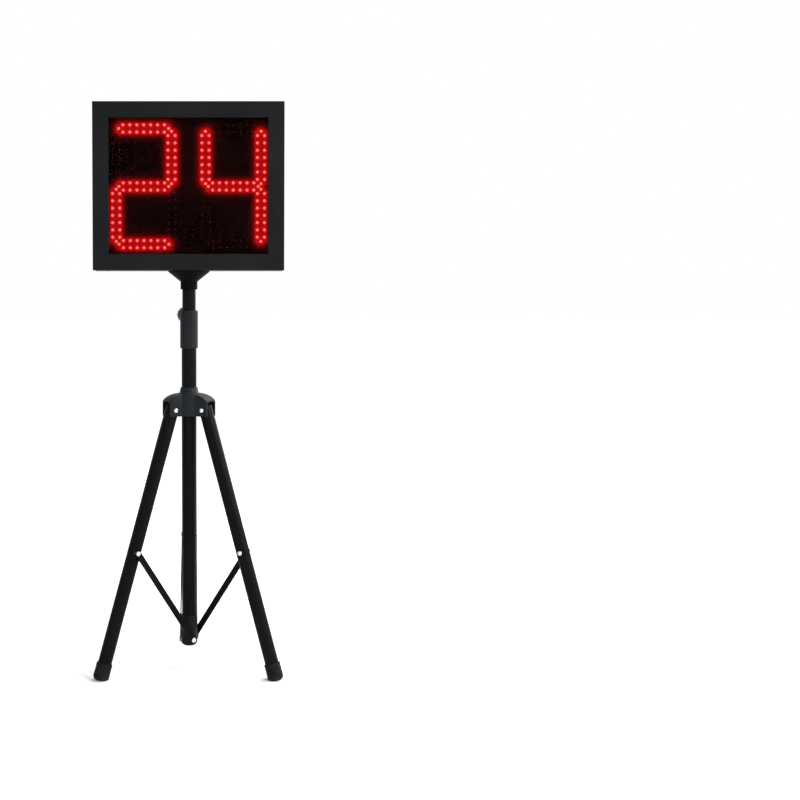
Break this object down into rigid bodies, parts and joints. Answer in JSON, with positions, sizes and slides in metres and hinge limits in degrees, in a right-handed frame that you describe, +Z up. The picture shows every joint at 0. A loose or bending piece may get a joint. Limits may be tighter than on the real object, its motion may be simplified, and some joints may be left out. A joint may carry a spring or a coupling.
{
  "type": "shot clock",
  "caption": "LED display box with glowing digits on a telescopic mast over a folding tripod stand, for timing possession in ball games",
  "frame": {"origin": "on the floor, in the middle of the clock's outline seen from above", "axes": "+Z up, the display faces -Y, +X to the right of someone who reads it"},
  "size_m": [0.4, 0.3454, 1.198],
  "materials": {
    "case_extrusion": "matt black powder coat",
    "window": "smoked glossy acrylic",
    "module_panel": "matt black",
    "lit_led": "glowing red lenses",
    "dark_led": "unlit red lenses",
    "cover_sheet": "matt black powder coat",
    "circuit_board": "green solder mask",
    "power_can": "plain sheet",
    "zinc_steel": "zinc plated",
    "black_tube": "satin black powder coat",
    "cast_flange": "black painted casting",
    "black_plastic": "moulded black",
    "grey_plastic": "moulded grey",
    "rubber": "matt black",
    "rivet_steel": "bright plated"
  },
  "bodies": {
    "stand": {"outer_tube": "black_tube", "clamp_sleeve": "black_plastic", "lower_spider": "black_plastic", "spider_rivet_left": "rivet_steel", "spider_rivet_right": "rivet_steel", "spider_rivet_back": "rivet_steel"},
    "mast": {"inner_tube": "black_tube", "inner_tube_guide": "black_plastic"},
    "display": {"frame_bottom": "case_extrusion", "frame_left": "case_extrusion", "frame_top": "case_extrusion", "frame_right": "case_extrusion", "corner_key_bottom_left": "zinc_steel", "corner_key_top_left": "zinc_steel", "corner_key_top_right": "zinc_steel", "corner_key_bottom_right": "zinc_steel", "front_window": "window", "module_panel": "module_panel", "tens_segment_a": "lit_led", "tens_segment_b": "lit_led", "tens_segment_c": "dark_led", "tens_segment_d": "lit_led", "tens_segment_e": "lit_led", "tens_segment_f": "dark_led", "tens_segment_g": "lit_led", "units_segment_a": "dark_led", "units_segment_b": "lit_led", "units_segment_c": "lit_led", "units_segment_d": "dark_led", "units_segment_e": "dark_led", "units_segment_f": "lit_led", "units_segment_g": "lit_led", "decimal_point": "dark_led", "rear_cover": "cover_sheet", "power_supply": "power_can", "controller_board": "circuit_board", "sounder": "black_plastic", "power_inlet": "black_plastic", "switch_body": "black_plastic", "mounting_flange": "cast_flange", "flange_screw": "zinc_steel"},
    "power_rocker": {"switch_rocker": "black_plastic"},
    "clamp_screw": {"clamp_knob": "grey_plastic"},
    "hub_slider": {"hub": "black_plastic", "hub_rivet_left": "rivet_steel", "hub_rivet_right": "rivet_steel", "hub_rivet_back": "rivet_steel"},
    "hub_screw": {"hub_knob": "grey_plastic"},
    "strut_arm_left": {"strut_left": "black_tube"},
    "leg_tube_left": {"leg_left": "black_tube", "foot_left": "rubber", "leg_rivet_left": "rivet_steel"},
    "strut_arm_right": {"strut_right": "black_tube"},
    "leg_tube_right": {"leg_right": "black_tube", "foot_right": "rubber", "leg_rivet_right": "rivet_steel"},
    "strut_arm_back": {"strut_back": "black_tube"},
    "leg_tube_back": {"leg_back": "black_tube", "foot_back": "rubber", "leg_rivet_back": "rivet_steel"}
  },
  "joints": [
    {"name": "mast_extend", "type": "slide", "parent": "stand", "child": "mast", "axis": [0, 0, 1], "range_m": [-0.035, 0.4]},
    {"name": "display_turn", "type": "hinge", "parent": "mast", "child": "display", "pos_m": [0, -0.05196, 0.808], "axis": [0, 0, 1], "continuous": true},
    {"name": "power_switch", "type": "hinge", "parent": "display", "child": "power_rocker", "pos_m": [0.12, -0.01446, 0.897], "axis": [0, 0, 1], "range_deg": [-20, 0]},
    {"name": "clamp_knob_turn", "type": "hinge", "parent": "stand", "child": "clamp_screw", "pos_m": [0, -0.05196, 0.754], "axis": [-0.2588, 0.9659, 0], "range_deg": [0, 540]},
    {"name": "tripod_fold", "type": "hinge", "parent": "stand", "child": "strut_arm_back", "pos_m": [0, -0.05196, 0.058], "axis": [1, 0, 0], "range_deg": [0, 21.5]},
    {"name": "strut_left_swing", "type": "hinge", "parent": "stand", "child": "strut_arm_left", "pos_m": [0, -0.05196, 0.058], "axis": [-0.5, 0.866, 0], "range_deg": [0, 21.5]},
    {"name": "strut_right_swing", "type": "hinge", "parent": "stand", "child": "strut_arm_right", "pos_m": [0, -0.05196, 0.058], "axis": [-0.5, -0.866, 0], "range_deg": [0, 21.5]},
    {"name": "leg_back_swing", "type": "hinge", "parent": "strut_arm_back", "child": "leg_tube_back", "pos_m": [0, 0.07954, 0.258], "axis": [-1, 0, 0], "range_deg": [0, 36.93]},
    {"name": "leg_left_swing", "type": "hinge", "parent": "strut_arm_left", "child": "leg_tube_left", "pos_m": [-0.11388, -0.11771, 0.258], "axis": [0.5, -0.866, 0], "range_deg": [0, 36.93]},
    {"name": "leg_right_swing", "type": "hinge", "parent": "strut_arm_right", "child": "leg_tube_right", "pos_m": [0.11388, -0.11771, 0.258], "axis": [0.5, 0.866, 0], "range_deg": [0, 36.93]},
    {"name": "hub_slide_level", "type": "hinge", "parent": "leg_tube_back", "child": "hub_slider", "pos_m": [0, -0.01046, 0.553], "axis": [1, 0, 0], "range_deg": [0, 15.43]},
    {"name": "hub_knob_turn", "type": "hinge", "parent": "hub_slider", "child": "hub_screw", "pos_m": [0, -0.05196, 0.56], "axis": [0.866, 0.5, 0], "range_deg": [0, 540]}
  ],
  "couplings": [
    {"joint": "strut_left_swing", "follows": "tripod_fold", "ratio": 1},
    {"joint": "strut_right_swing", "follows": "tripod_fold", "ratio": 1},
    {"joint": "leg_left_swing", "follows": "tripod_fold", "ratio": 1.717},
    {"joint": "leg_right_swing", "follows": "tripod_fold", "ratio": 1.717},
    {"joint": "leg_back_swing", "follows": "tripod_fold", "ratio": 1.717},
    {"joint": "hub_slide_level", "follows": "tripod_fold", "ratio": 0.717}
  ]
}
